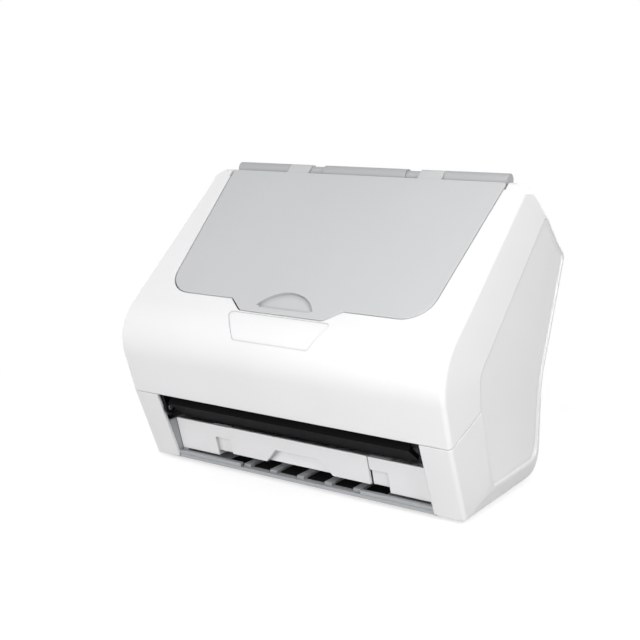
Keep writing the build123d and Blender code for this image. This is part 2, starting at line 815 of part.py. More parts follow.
def lower_guide():
    """The black lower half of the paper path, which ends above in the document support."""
    top, under = -path_half_gap, -path_half_gap - guide_plate
    wide = bay_half_width + bay_wall
    guide = plate_on(PATH, window(-wide, wide, guide_wide_from, path_top), under, top)
    guide += plate_on(PATH, window(-guide_narrow, guide_narrow, -1.0, guide_wide_from), under, top)
    apron = outline([on_path(-1.0, top), on_path(3.0, under), (28.0, 42.0), (28.0, 40.0), (25.5, 40.0)])
    guide += prism(apron, -guide_narrow, guide_narrow)
    rest = -tray_thickness - running_gap
    cheek_face = outline([on_path(92, under), on_path(path_top - 9, under), on_path(path_top - 9, top),
                          on_tray(138, rest), on_tray(45, rest)])
    guide += both_sides(prism(cheek_face, wide - cheek, wide))
    for roll, places, half in ((exit_roll, tyre_places, tyre_width / 2),
                               (middle_roll, tyre_places, tyre_width / 2),
                               (feed_roll, (0.0,), feed_half_width)):
        for x in places:
            hole = window(x - half - 1, x + half + 1, roll[0] - roll[1] - 0.6, roll[0] + roll[1] + 0.6, 2)
            guide -= plate_on(PATH, hole, under - 8, top + 1)
    guide -= plate_on(PATH, window(-sensor_half_length - 0.3, sensor_half_length + 0.3,
                                   lower_sensor_at - 7.8, lower_sensor_at + 7.8), under - 1, top + 1)
    hook_slot = window(hook_inner - 1, hook_outer + 1, hook_low - 4.8, hook_high + 0.6)
    guide -= both_sides(plate_on(PATH, hook_slot, under - 1, top + 1))
    rack_at = gear_module * guide_teeth / 2
    outer = rack_at + rack_body + dedendum
    ribs = window(-guide_narrow, guide_narrow, guides_at + outer + 0.3, guides_at + outer + 2.3)
    ribs += window(-guide_narrow, guide_narrow, guides_at - outer - 2.3, guides_at - outer - 0.3)
    guide += plate_on(PATH, ribs, under - 4.5, under)
    guide += plate_on(PATH, Pos(0, guides_at) * Circle(pinion_boss), under - 4.5, under)
    slot_low = rack_at + dedendum + 0.6
    slot_from = -paper_half_width - cheek - stem_play
    slot_to = -paper_half_width + stem_reach + guide_travel + stem_play
    slot_high = slot_low + stem_width + 0.8
    slot = window(slot_from, slot_to, guides_at + slot_low, guides_at + slot_high)
    guide -= plate_on(PATH, slot, under - 1, top + 1)
    other = window(-slot_to, -slot_from, guides_at - slot_high, guides_at - slot_low)
    guide -= plate_on(PATH, other, under - 1, top + 1)
    for i in range(-4, 5):
        if i:
            rib = window(i * 24.0 - 0.8, i * 24.0 + 0.8, 146, path_top - 4)
            guide += plate_on(PATH, rib, top, top + 0.8)
    return guide


def rack_face():
    """A straight rack's outline: its teeth face down the path, towards the pinion."""
    pitch = pi * gear_module
    rise = tan(radians(pressure_angle))
    half = pitch / 4 - backlash / 2
    reach = gear_module * guide_teeth / 2
    tip, root = reach - addendum * gear_module, reach + dedendum * gear_module
    points = [(-rack_tail, root + rack_body), (-rack_tail, root)]
    count = int((guide_travel + 14) / pitch)
    for i in range(-count + 2, 3):
        middle = (i - 0.5) * pitch
        points += [(middle - half - rise * dedendum * gear_module, root),
                   (middle - half + rise * addendum * gear_module, tip),
                   (middle + half - rise * addendum * gear_module, tip),
                   (middle + half + rise * dedendum * gear_module, root)]
    points += [(rack_tip, root), (rack_tip, root + rack_body)]
    return make_face(Polyline(*points, close=True))


def paper_guide(turned):
    """A sliding side guide: wall, foot, and the rack under the plate that moves it."""
    base = -path_half_gap + running_gap
    under = -path_half_gap - guide_plate - 0.5
    half = guide_length / 2
    wall_face = window(-paper_half_width - cheek, -paper_half_width, -half, half)
    across = -PATH.x_dir if turned else PATH.x_dir
    local = Plane(PATH.from_local_coords((0, guides_at, 0)), x_dir=across, z_dir=PATH.z_dir)
    body = plate_on(local, wall_face, base, guide_height)
    across_edges = body.edges().filter_by(Axis((0, 0, 0), (1, 0, 0)))
    body = fillet(across_edges.sort_by(Axis((0, 0, 0), PATH.z_dir))[-2:], guide_round)
    outer = -paper_half_width - cheek
    sole = window(outer, -paper_half_width + sole_reach, -half, half)
    body += plate_on(local, sole, base, base + sole_thickness)
    low = gear_module * guide_teeth / 2 + dedendum + 1.0
    stem = window(outer, -paper_half_width + stem_reach, low, low + stem_width)
    body += plate_on(local, stem, under - rack_thickness, base)
    body += plate_on(local, rack_face(), under - rack_thickness, under)
    return body


def guide_pinion():
    face = gear_face(guide_teeth, 90.0) - Circle(pinion_boss + shaft_clearance)
    under = -path_half_gap - guide_plate - 0.5
    return plate_on(PATH, Pos(0, guides_at) * face, under - rack_thickness, under)


def sensor_bar(side, at):
    """An image sensor's moulding, on one side of the path, stepped under its glass."""
    face = path_half_gap + guide_plate + 0.2
    shape = Rectangle(2 * sensor_half_length, 2 * sensor_half_width)
    shape = Pos(0, at) * shape
    body = plate_on(PATH, shape, side * face, side * (face + 10))
    rib = Pos(0, at) * Rectangle(2 * sensor_half_length - 16, sensor_half_width)
    return body + plate_on(PATH, rib, side * (face + 10), side * (face + 13))


def sensor_glass(side, at):
    shape = Pos(0, at) * Rectangle(2 * sensor_half_length, 2 * sensor_half_width)
    face = path_half_gap + guide_plate
    return plate_on(PATH, shape, side * (path_half_gap + 0.2), side * face)


# Rollers

def drive_shaft(centre, right_end):
    return bar(centre, drive_shaft_radius, -frame_inner - frame_thickness - 1.8, right_end)


def tyres(centre, radius, bore, places, width):
    rings = [tube(centre, radius, bore, x - width / 2, x + width / 2) for x in places]
    return group(rings)


def separation_centre():
    return on_path(feed_roll[0], separation_radius + nip)


def separation_roller():
    centre = separation_centre()
    return bar(centre, separation_radius, -17, 17) + bar(centre, idler_shaft_radius, -24, 24)


def separation_holder():
    """The bracket on the upper guide plate that carries the separation roller."""
    base = path_half_gap + guide_plate
    holder = plate_on(PATH, window(-24.5, 24.5, holder_from, holder_from + 2.5), base, base + 12)
    ear = window(holder_from, feed_roll[0] + 4.5, base, base + 11, 3.0)
    plane = Plane(PATH.origin, x_dir=PATH.y_dir, z_dir=(1, 0, 0))
    ear_solid = extrude(plane.offset(21) * ear, 3)
    holder += both_sides(ear_solid)
    holder -= bar(separation_centre(), idler_shaft_radius + shaft_clearance, -30, 30)
    return holder


def idler_centre(roll):
    return on_path(roll[0], idler_radius + nip)


# Upper unit, inside the front cover

def deck_back():
    return on_path(upper_path_top, path_half_gap)


def upper_frame():
    """The black moulding in the front cover: the path's upper plate, deck and cheeks."""
    inside = offset(side_outline(), -wall - 0.2, kind=Kind.INTERSECTION)
    back = deck_back()
    start = on_path(upper_path_start, path_half_gap)
    region = outline([start, back, deck_front, (-far, deck_front[1]), (-far, start[1])])
    region &= inside
    frame = both_sides(prism(region, upper_half_width - cheek, upper_half_width))
    strip = outline([start, back, on_path(upper_path_top, path_half_gap + guide_plate),
                     on_path(upper_path_start, path_half_gap + guide_plate)])
    strip &= inside
    frame += prism(strip, -upper_half_width, upper_half_width)
    deck = outline([back, deck_front, (deck_front[0], deck_front[1] - guide_plate),
                    (back[0] - 1.5, back[1] - guide_plate)])
    frame += prism(deck, -upper_half_width, upper_half_width)
    low, high = path_half_gap - 1, path_half_gap + guide_plate + 1
    for roll in (exit_roll, middle_roll):
        for x in tyre_places:
            hole = window(x - 7.2, x + 7.2, roll[0] - idler_radius - 1, roll[0] + idler_radius + 1, 2)
            frame -= plate_on(PATH, hole, low, high)
        frame -= bar(idler_centre(roll), idler_shaft_radius + shaft_clearance, -far, far)
    frame -= plate_on(PATH, window(-sensor_half_length - 0.3, sensor_half_length + 0.3,
                                   upper_sensor_at - 7.8, upper_sensor_at + 7.8), low, high)
    frame -= plate_on(PATH, window(-20, 20, feed_roll[0] - 10.5, upper_path_top + 5), low, high)
    frame -= plate_on(PATH, window(-25, 25, holder_from - 1, upper_path_top + 5),
                      path_half_gap + guide_plate, high + 18)
    frame -= both_sides(plate_on(PATH, window(hook_inner - 1, hook_outer + 1, hook_low - 4, hook_high + 1),
                                 low, high))
    frame -= bar(latch_centre(), latch_radius + shaft_clearance, -far, far)
    frame -= block(lever_inner - 1, lever_outer + 1, 12, 40, deck_front[1] - 14, deck_front[1] + 6)
    return frame


def hinge_arms():
    """Steel arms on the cheeks' outer faces, which pass round the exit shaft to the pins."""
    y, z = cover_axis
    inside = offset(side_outline(), -wall - 0.2, kind=Kind.INTERSECTION)
    plate = outline([(y - hinge_arm_radius + 0.4, z + 1), (y + hinge_arm_radius - 0.4, z + 1),
                     (y - 0.6, z + 11), on_path(12.5, -1.5), on_path(20, path_half_gap),
                     on_path(hinge_arm_top, path_half_gap), on_path(hinge_arm_top, hinge_arm_depth),
                     on_path(upper_path_start, hinge_arm_depth)])
    plate &= inside
    plate = plate + Pos(y, z) * Circle(hinge_arm_radius)
    plate -= Pos(y, z) * Circle(cover_pin_radius + shaft_clearance)
    return both_sides(prism(plate, upper_half_width, upper_half_width + arm_thickness))


def latch_centre():
    return on_path(latch_at[0], latch_at[1])


def latch_shaft():
    return bar(latch_centre(), latch_radius, -upper_half_width + 0.3, upper_half_width - 0.3)


def latch_hooks():
    """Two hooks that reach down through the path, beside the paper, to the catch edges."""
    centre = latch_centre()
    tip = -path_half_gap - guide_plate - 3.2
    shape = outline([on_path(hook_low, latch_at[1]), on_path(hook_low, tip), on_path(hook_high - 2, tip),
                     on_path(hook_high, tip + 2.2), on_path(hook_low + hook_neck, tip + 2.8),
                     on_path(hook_low + hook_neck, latch_at[1])])
    shape = shape + Pos(centre[0], centre[1]) * Circle(latch_radius + 2.5)
    shape = shape - Pos(centre[0], centre[1]) * Circle(latch_radius)
    return both_sides(prism(shape, hook_inner, hook_outer))


def release_lever():
    centre = latch_centre()
    tip = lever_tip
    dy, dz = tip[0] - centre[0], tip[1] - centre[1]
    span = hypot(dy, dz)
    side = (-dz / span * 2.0, dy / span * 2.0)
    shape = outline([(centre[0] - side[0], centre[1] - side[1]), (tip[0] - side[0], tip[1] - side[1]),
                     (tip[0] + side[0], tip[1] + side[1]), (centre[0] + side[0], centre[1] + side[1])])
    shape = shape + Pos(centre[0], centre[1]) * Circle(latch_radius + 2.5)
    shape = shape + Pos(tip[0], tip[1]) * Circle(2.6)
    shape = shape - Pos(centre[0], centre[1]) * Circle(latch_radius)
    return prism(shape, lever_inner, lever_outer)


# Base plate, output tray and feet

def front_face_y(z):
    """Where the base's sloping front face lies at a height."""
    return foot_setback * (1 - z / seam_height)


def chassis():
    """The grey base plate with its sill, bay walls, runners and floor ribs."""
    narrow = bay_half_width + bay_wall
    plate = block(-narrow, narrow, foot_setback + 0.6, floor_wide_from, 0, floor_thickness)
    plate += block(-floor_half_width, floor_half_width, floor_wide_from, chassis_rear, 0, floor_thickness)
    sill = block(sill_gap_half, bay_half_width, foot_setback + 0.6, foot_setback + sill_depth, 0, sill_height)
    sill -= block(sill_gap_half - 1, bay_half_width + 1, foot_setback, foot_setback + 1.2, 2.4, 3.2)
    plate += both_sides(sill)
    low, high = front_face_y(0) + 3.3, front_face_y(bay_wall_height) + 3.3
    side = outline([(low, 0), (high, bay_wall_height), (chassis_rear, bay_wall_height), (chassis_rear, 0)])
    plate += both_sides(prism(side, bay_half_width, narrow))
    plate += block(-narrow, narrow, chassis_rear - bay_wall, chassis_rear, 0, bay_wall_height)
    ledge = block(runner_inner, bay_half_width, foot_setback + sill_depth, chassis_rear, 0,
                  drawer_deck - running_gap)
    ledge += block(runner_inner, bay_half_width, 42, chassis_rear, drawer_rail_top + 0.4,
                   drawer_rail_top + 2.4)
    plate += both_sides(ledge)
    for i in range(-2, 3):
        x = i * floor_rib_pitch
        plate += block(x - floor_rib / 2, x + floor_rib / 2, foot_setback + 4, 120, 0, floor_thickness + 2.5)
    for x, y in screw_places():
        for sx in (x, -x):
            plate -= Pos(sx, y, 0) * Cylinder(screw_radius + 0.2, 20)
            plate -= Pos(sx, y, 0) * Cylinder(screw_head + 0.3, 2 * screw_sink)
    return plate


def case_screws():
    screws = []
    for x, y in screw_places():
        for sx in (x, -x):
            head = Pos(sx, y, screw_sink / 2) * Cylinder(screw_head, screw_sink)
            slot = Pos(sx, y, 0) * Box(1.0, 5.0, 1.2)
            shank = Pos(sx, y, screw_sink + 2.8) * Cylinder(screw_radius, 5.6)
            screws.append(head + shank - slot)
    return group(screws)


def rubber_feet():
    front = extrude(Pos(foot_front[0], foot_front[1]) * SlotOverall(44, 13), -foot_drop)
    rear = Pos(foot_rear[0], foot_rear[1], -foot_drop / 2) * Cylinder(foot_rear_radius, foot_drop)
    feet = []
    for foot in (front, rear):
        foot = chamfer(foot.faces().sort_by(Axis.Z)[0].edges(), 0.8)
        feet += [foot, mirror(foot, Plane.YZ)]
    return group(feet)


def lip_face(proud, low, high, thickness):
    """The profile of a front lip, parallel to the base's front face and set back from it."""
    def at(z):
        return lip_top[0] + (lip_top[1] - z) * lip_lean - proud
    return outline([(at(low), low), (at(high), high), (at(high) + thickness, high),
                    (at(low) + thickness, low)])


def output_tray():
    """The white drawer that catches the pages, with runners for its extension."""
    front = lip_top[0] + (lip_top[1] - drawer_deck) * lip_lean
    tray = block(-drawer_half_width, drawer_half_width, front, chassis_rear - 5, drawer_deck,
                 drawer_deck + wall)
    tray -= block(-notch_outer, notch_outer, 0, finger_depth, 0, 30)
    lip = prism(lip_face(0, drawer_deck, lip_top[1], wall), extension_lip_half + 0.6, drawer_half_width)
    lip += prism(lip_face(0, notch_low, lip_top[1], wall + 3.0), extension_lip_half + 0.6, notch_outer + 2)
    notch = prism(lip_face(1.0, notch_low - 6, notch_top, 4.0), extension_lip_half, notch_outer)
    lip -= notch
    lip -= block(0, notch_outer, 0, 60, 0, notch_low)
    tray += both_sides(lip)
    rail = block(drawer_half_width - wall, drawer_half_width, front, chassis_rear - 5, drawer_deck,
                 drawer_rail_top)
    runner = block(extension_half + 0.5, extension_half + 0.5 + wall, finger_depth, chassis_rear - 8,
                   drawer_deck + wall - 0.5, extension_deck + wall + 2.6)
    runner += block(extension_half - 3.0, extension_half + 1, finger_depth, chassis_rear - 8,
                    extension_deck + wall + 0.6, extension_deck + wall + 2.6)
    tray += both_sides(rail + runner)
    return tray


def output_extension():
    """The middle leaf of the output tray, with a finger scoop under its front lip."""
    back = chassis_rear - 12
    front = lip_top[0] + (lip_top[1] - extension_deck) * lip_lean - 0.8
    leaf = block(-extension_half, extension_half, front + 1, back, extension_deck, extension_deck + wall)
    lip = lip_face(0.8, extension_deck, lip_top[1] + 0.6, wall)
    leaf += prism(lip, -extension_lip_half, extension_lip_half)
    skid = block(extension_half - 8, extension_half - 5, finger_depth + 3, back,
                 drawer_deck + wall + running_gap, extension_deck + 0.5)
    leaf += both_sides(skid)
    leaf += prism(lip_face(0.8, extension_deck, scoop_top + 2.5, scoop_depth + 2.0), -scoop_low_half - 2.5,
                  scoop_low_half + 2.5)
    scoop = outline([(-scoop_low_half, extension_deck - 1), (-scoop_top_half, scoop_top),
                     (scoop_top_half, scoop_top), (scoop_low_half, extension_deck - 1)], [0, 2, 2, 0])
    leaf -= extrude(Plane.XZ * scoop, -(front - 2 + scoop_depth)) & block(
        -60, 60, 0, front - 3 + scoop_depth, 0, 60)
    return leaf


# Drive motor, electronics and sockets

def motor():
    """The stepper motor: laminated body, end caps and the boss in the frame's hole."""
    centre = motor_centre()
    square = Pos(centre[0], centre[1]) * RectangleRounded(motor_size, motor_size, 5)
    core = Pos(centre[0], centre[1]) * RectangleRounded(motor_size - 1.6, motor_size - 1.6, 8)
    face = frame_inner - 0.05
    body = prism(square, face - 8, face) + prism(core, face - motor_length + 7, face - 8)
    body += prism(square, face - motor_length, face - motor_length + 8)
    body += bar(centre, motor_boss_radius, face, face + frame_thickness)
    body -= bar(centre, motor_shaft_radius + shaft_clearance, face - 20, face + 10)
    return body


def motor_shaft():
    return bar(motor_centre(), motor_shaft_radius, frame_inner - 18, motor_gear_plane + gear_width)


def main_board():
    """The circuit board on its standoffs, with the larger parts on its inner face."""
    board = block(board_left, board_right, board_y, board_y + board_thickness, board_low, board_high)
    for x, z in board_corners():
        board -= Pos(x, board_y, z) * Rot(90, 0, 0) * Cylinder(1.6, 10)
    for across, up, size in ((54, 44, processor), (104, 50, memory_chip), (14, 56, plug_socket),
                             (132, 30, plug_socket)):
        x, z = board_left + across, board_low + up
        board += block(x, x + size[0], board_y - size[2], board_y, z, z + size[1])
    for across in (38, 50):
        place = Pos(board_left + across, board_y - capacitor_height / 2, board_low + 36)
        board += place * Rot(90, 0, 0) * Cylinder(capacitor_radius, capacitor_height)
    return board


def board_corners():
    return [(x, z) for x in (board_left + 6, board_right - 6) for z in (board_low + 5, board_high - 6)]


def board_standoffs():
    """Spacers between the board and the rear cover's inner face, one at each corner."""
    posts = []
    inner = prism(offset(side_outline(), -wall, kind=Kind.INTERSECTION), -far, far)
    for x, z in board_corners():
        post = Pos(x, board_y + board_thickness, z) * extrude(Plane.XZ * Circle(3.2), -far)
        posts.append(post & inner)
    return group(posts)


def power_inlet():
    """The round low-voltage inlet with its centre pin."""
    y0, y1 = board_y + board_thickness, rear_waist[0] - socket_seat
    body = block(inlet_x - inlet_half, inlet_x + inlet_half, y0, y1, port_z - port_half_height,
                 port_z + port_half_height)
    hole = Pos(inlet_x, y1 - 5, port_z) * Rot(90, 0, 0) * Cylinder(3.2, 10.2)
    pin = Pos(inlet_x, y1 - 5.5, port_z) * Rot(90, 0, 0) * Cylinder(1.0, 9)
    return body - hole + pin


def usb_socket():
    y0, y1 = board_y + board_thickness, rear_waist[0] - socket_seat
    body = block(usb_x - usb_half, usb_x + usb_half, y0, y1, port_z - port_half_height,
                 port_z + port_half_height)
    body -= block(usb_x - 4.2, usb_x + 4.2, y1 - 9, y1 + 1, port_z - 3.9, port_z + 3.9)
    body += block(usb_x - 2.8, usb_x + 2.8, y1 - 9.5, y1 - 1, port_z - 1.6, port_z + 1.6)
    return body


def power_switch():
    """The switch's bezel and body, clipped into the rear wall."""
    y1 = rear_waist[0]
    rim = 1.5
    body = block(switch_x - switch_half, switch_x + switch_half, y1 - 14, y1,
                 port_z - switch_half_height, port_z + switch_half_height)
    body += block(switch_x - switch_half - rim, switch_x + switch_half + rim, y1, y1 + 1.4,
                  port_z - switch_half_height - rim, port_z + switch_half_height + rim)
    body -= block(switch_x - rocker_half - 0.4, switch_x + rocker_half + 0.4, y1 - 7, y1 + 3,
                  port_z - 4.8, port_z + 4.8)
    bore = rocker_pin_radius + shaft_clearance
    body -= bar(rocker_pivot(), bore, switch_x - rocker_pin_reach, switch_x + rocker_pin_reach)
    return body


def rocker():
    """The rocker, dished across its middle, resting pressed on its lower end."""
    pivot = rocker_pivot()
    shape = outline([(pivot[0] - 1.6, pivot[1] - 1.8), (pivot[0] - 1.6, pivot[1] + 1.8),
                     (pivot[0] + 4.6, pivot[1] + 3.9), (pivot[0] + 2.6, pivot[1]),
                     (pivot[0] + 2.4, pivot[1] - 3.9)], 0.3)
    reach = rocker_pin_reach - 0.2
    pin = bar(pivot, rocker_pin_radius, switch_x - reach, switch_x + reach)
    return prism(shape, switch_x - rocker_half, switch_x + rocker_half) + pin


def rocker_pivot():
    return (rear_waist[0] - 1.0, port_z)


def idler_rollers(roll):
    """A free-turning shaft with its small rollers, in the upper frame's cheeks."""
    centre = idler_centre(roll)
    shaft = bar(centre, idler_shaft_radius, -upper_half_width + 0.3, upper_half_width - 0.3)
    for x in tyre_places:
        shaft += bar(centre, idler_radius, x - 6, x + 6)
    return shaft


def reduction_gear(turn):
    """The stepped gear: the large wheel takes the motor's drive, the small one passes it on."""
    centre = reduction_centre()
    bore = stud_radius + shaft_clearance
    small = Pos(centre[0], centre[1]) * (gear_face(small_teeth, turn) - Circle(bore))
    large = spur_gear(centre, reduction_teeth, turn, motor_gear_plane, bore, 1.2)
    return large + prism(small, roller_gear_plane, motor_gear_plane)


def build_parts():
    outside = master_outside()
    shell = outside - master_void()
    right = side_cover(shell)
    turns = gear_turns()
    bore = drive_shaft_radius
    parts = {
        "front_cover": front_cover(shell, outside),
        "side_cover_right": right,
        "side_cover_left": mirror(right, Plane.YZ),
        "rear_cover": rear_cover(shell),
        "bottom_chassis": chassis(),
        "frame_right": right_frame(),
        "frame_left": left_frame(),
        "lower_guide": lower_guide(),
        "hinge_rail": hinge_rail(),
        "tray_hinge_pins": tray_pins(),
        "cover_hinge_pins": cover_pins(),
        "gear_studs": gear_studs(),
        "shaft_bushes": shaft_bushes(),
        "case_screws": case_screws(),
        "rubber_feet": rubber_feet(),
        "lower_sensor": sensor_bar(-1, lower_sensor_at),
        "lower_sensor_glass": sensor_glass(-1, lower_sensor_at),
        "motor": motor(),
        "main_board": main_board(),
        "board_standoffs": board_standoffs(),
        "power_inlet": power_inlet(),
        "usb_socket": usb_socket(),
        "power_switch": power_switch(),
        "power_rocker": rocker(),
        "upper_frame": upper_frame(),
        "hinge_arms": hinge_arms(),
        "upper_sensor": sensor_bar(1, upper_sensor_at),
        "upper_sensor_glass": sensor_glass(1, upper_sensor_at),
        "separation_holder": separation_holder(),
        "separation_roller": separation_roller(),
        "latch_shaft": latch_shaft(),
        "latch_hooks": latch_hooks(),
        "release_lever": release_lever(),
        "feed_tray": feed_tray(),
        "tray_panel": tray_panel(),
        "paper_guide_left": paper_guide(False),
        "paper_guide_right": paper_guide(True),
        "guide_pinion": guide_pinion(),
        "output_tray": output_tray(),
        "output_extension": output_extension(),
        "motor_shaft": motor_shaft(),
        "motor_pinion": spur_gear(motor_centre(), motor_teeth, turns["motor"], motor_gear_plane,
                                  motor_shaft_radius),
        "exit_shaft": drive_shaft(exit_centre(), roller_gear_plane + gear_width + 0.3),
        "exit_tyres": tyres(exit_centre(), exit_roll[1], bore, tyre_places, tyre_width),
        "exit_gear": spur_gear(exit_centre(), exit_teeth, turns["exit"], roller_gear_plane, bore),
        "middle_shaft": drive_shaft(middle_centre(), roller_gear_plane + gear_width + 0.3),
        "middle_tyres": tyres(middle_centre(), middle_roll[1], bore, tyre_places, tyre_width),
        "middle_gear": spur_gear(middle_centre(), middle_teeth, turns["middle"], roller_gear_plane, bore),
        "feed_shaft": drive_shaft(feed_centre(), feed_gear_plane + gear_width),
        "feed_tyre": tyres(feed_centre(), feed_roll[1], bore, (0.0,), 2 * feed_half_width),
        "feed_gear": spur_gear(feed_centre(), feed_teeth, turns["feed"], feed_gear_plane, bore, 1.2),
        "transfer_gear": spur_gear(transfer_centre(), transfer_teeth, turns["transfer"],
                                   roller_gear_plane, stud_radius + shaft_clearance),
        "reduction_gear": reduction_gear(turns["small"]),
        "exit_idlers": idler_rollers(exit_roll),
        "middle_idlers": idler_rollers(middle_roll),
    }
    return parts


def write_parts():
    os.makedirs("parts", exist_ok=True)
    depth = side_outline().bounding_box()
    to_origin = Pos(0, -(depth.min.X + depth.max.X) / 2, foot_drop)
    for name, piece in build_parts().items():
        export_step(to_origin * piece, f"parts/{name}.step")


if __name__ == "__main__":
    write_parts()
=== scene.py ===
from math import cos, pi, radians, sin, tan

import bmesh
import bpy
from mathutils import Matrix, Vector


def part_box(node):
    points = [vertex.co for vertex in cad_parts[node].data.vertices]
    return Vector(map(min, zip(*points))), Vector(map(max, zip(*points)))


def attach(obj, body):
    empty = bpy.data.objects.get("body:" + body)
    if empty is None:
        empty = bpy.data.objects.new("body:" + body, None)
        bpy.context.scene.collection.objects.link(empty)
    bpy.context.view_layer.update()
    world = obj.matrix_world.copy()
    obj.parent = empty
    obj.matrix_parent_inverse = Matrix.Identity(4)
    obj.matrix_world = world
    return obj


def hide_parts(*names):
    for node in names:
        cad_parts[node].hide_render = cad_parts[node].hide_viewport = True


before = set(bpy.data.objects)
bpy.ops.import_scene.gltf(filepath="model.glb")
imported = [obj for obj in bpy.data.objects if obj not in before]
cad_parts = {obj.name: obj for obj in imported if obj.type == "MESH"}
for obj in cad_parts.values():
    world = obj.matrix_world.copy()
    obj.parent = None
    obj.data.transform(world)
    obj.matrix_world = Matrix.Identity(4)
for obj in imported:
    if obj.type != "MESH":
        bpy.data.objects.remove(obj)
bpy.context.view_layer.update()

# Lengths are in metres, with X to the right, Y to the back and Z up. The nodes of the packed
# model keep their shape, and each gets a material by the slot that the record gives it.

# Camera, fitted to the photograph
camera_at = (0.5022, -0.78995, 0.3215)
camera_target = (-0.0042, -0.02625, 0.1342)
camera_lens = 62.9
camera_sensor = 36.0
camera_clip_near = 0.01
camera_clip_far = 50.0

# Stage
floor_radius = 3.0
floor_segments = 64
shadow_inner = 0.2               # inside this radius the floor shows the object's shadow in full
shadow_outer = 0.5               # past this one it is plain white
floor_lift = 0.66                # white added to the floor where the camera or a mirror sees it
world_strength = 0.36            # of the world as a light; where it is seen it is plain white

# Lamps: the name, place, side and power in watts of each soft square, all aimed at one point
lamp_aim = (0.0, 0.0, 0.12)
lamps = (
    ("key_softbox", (0.2, -1.4, 1.35), 1.2, 4.4),
    ("front_softbox", (0.1, -1.9, 0.33), 1.1, 19.0),
    ("side_softbox", (0.58, -0.35, 0.47), 0.28, 2.15),
    ("rear_softbox", (0.3, 1.9, 0.9), 1.4, 11.0),
    ("left_softbox", (-1.4, 0.3, 0.5), 0.9, 7.0),
)

# Seam between front cover and side covers, as (y, z) from its lower end to the ridge
seam_front = (-0.0935, 0.0665)
seam_corner = (-0.0565, 0.0880)
seam_brow = (-0.0600, 0.1160)
seam_ridge = (0.0550, 0.2246)
seam_half_width = 0.1600         # of the casing along the seam above its corner
seam_low_half_width = 0.1548     # the same at the seam's lower end
seam_start = 0.006               # how far along the seam from its lower end the tongue starts
tongue_radius = 0.00042
tongue_depth = 0.0015            # of the tongue's middle under the casing's face
tongue_sides = 10

# Side panel, sunk inside the side cover's rim: corners as (y, z), the round of each corner, and
# how far in from the rim the edge that starts there lies. Three edges run out past the seam.
panel_corners = (
    ((-0.0335, 0.0200), 0.013, 0.0026),
    ((-0.0565, 0.0880), 0.003, 0.0),
    ((-0.0640, 0.0900), 0.001, 0.0),
    ((-0.0660, 0.1190), 0.006, 0.0),
    ((0.0502, 0.2282), 0.002, 0.0026),
    ((0.0775, 0.2020), 0.016, 0.0026),
    ((0.0965, 0.1870), 0.006, 0.0026),
    ((0.0580, 0.0880), 0.055, 0.0026),
    ((0.0560, 0.0200), 0.013, 0.0026),
)
corner_steps = 6
panel_depth = 0.0010             # of the panel at the seam, under the casing's widest plane
panel_tilt = 0.0138              # how much deeper the panel lies for each metre from the seam

# The panel's rolled wall, as heights above the panel and how far out the wall is there
panel_wall = ((0.0, 0.0), (0.00012, 0.0004), (0.00045, 0.0008), (0.0010, 0.0011), (0.004, 0.0016))

weld_distance = 0.000002         # points of a node's mesh that are closer than this are one
sharp_angle = 34.0               # degrees; flatter edges of a cut node are shaded smooth

# Painted highlights along the plastic's edges and painted shade in its inner corners
edge_gain = 2.2                  # how strongly the painted edge highlight shows
bevel_samples = 6
corner_shade_samples = 8
corner_shade_reach = 0.005               # how far the painted corner shade reaches out of an inner corner
corner_shade_level = 0.42                # the painted shade's colour deep in a corner, as a share of the plain one

# Felt pads on the chassis floor, between the ribs under the output tray
floor_plate = 0.003
pads_each_side = 3
rib_pitch = 0.0275
rib_width = 0.007
pad_gap = 0.0004
pad_thickness = 0.0006
pad_front = -0.0585
pad_rear = 0.0255
pad_corner = 0.002
pad_corner_steps = 5


def srgb(red, green, blue):
    """A colour written in 0 to 255 as the eye sees it, in the linear form of the shader."""
    linear = []
    for value in (red, green, blue):
        part = value / 255.0
        linear.append(part / 12.92 if part <= 0.04045 else ((part + 0.055) / 1.055) ** 2.4)
    return (linear[0], linear[1], linear[2], 1.0)


# Node helpers

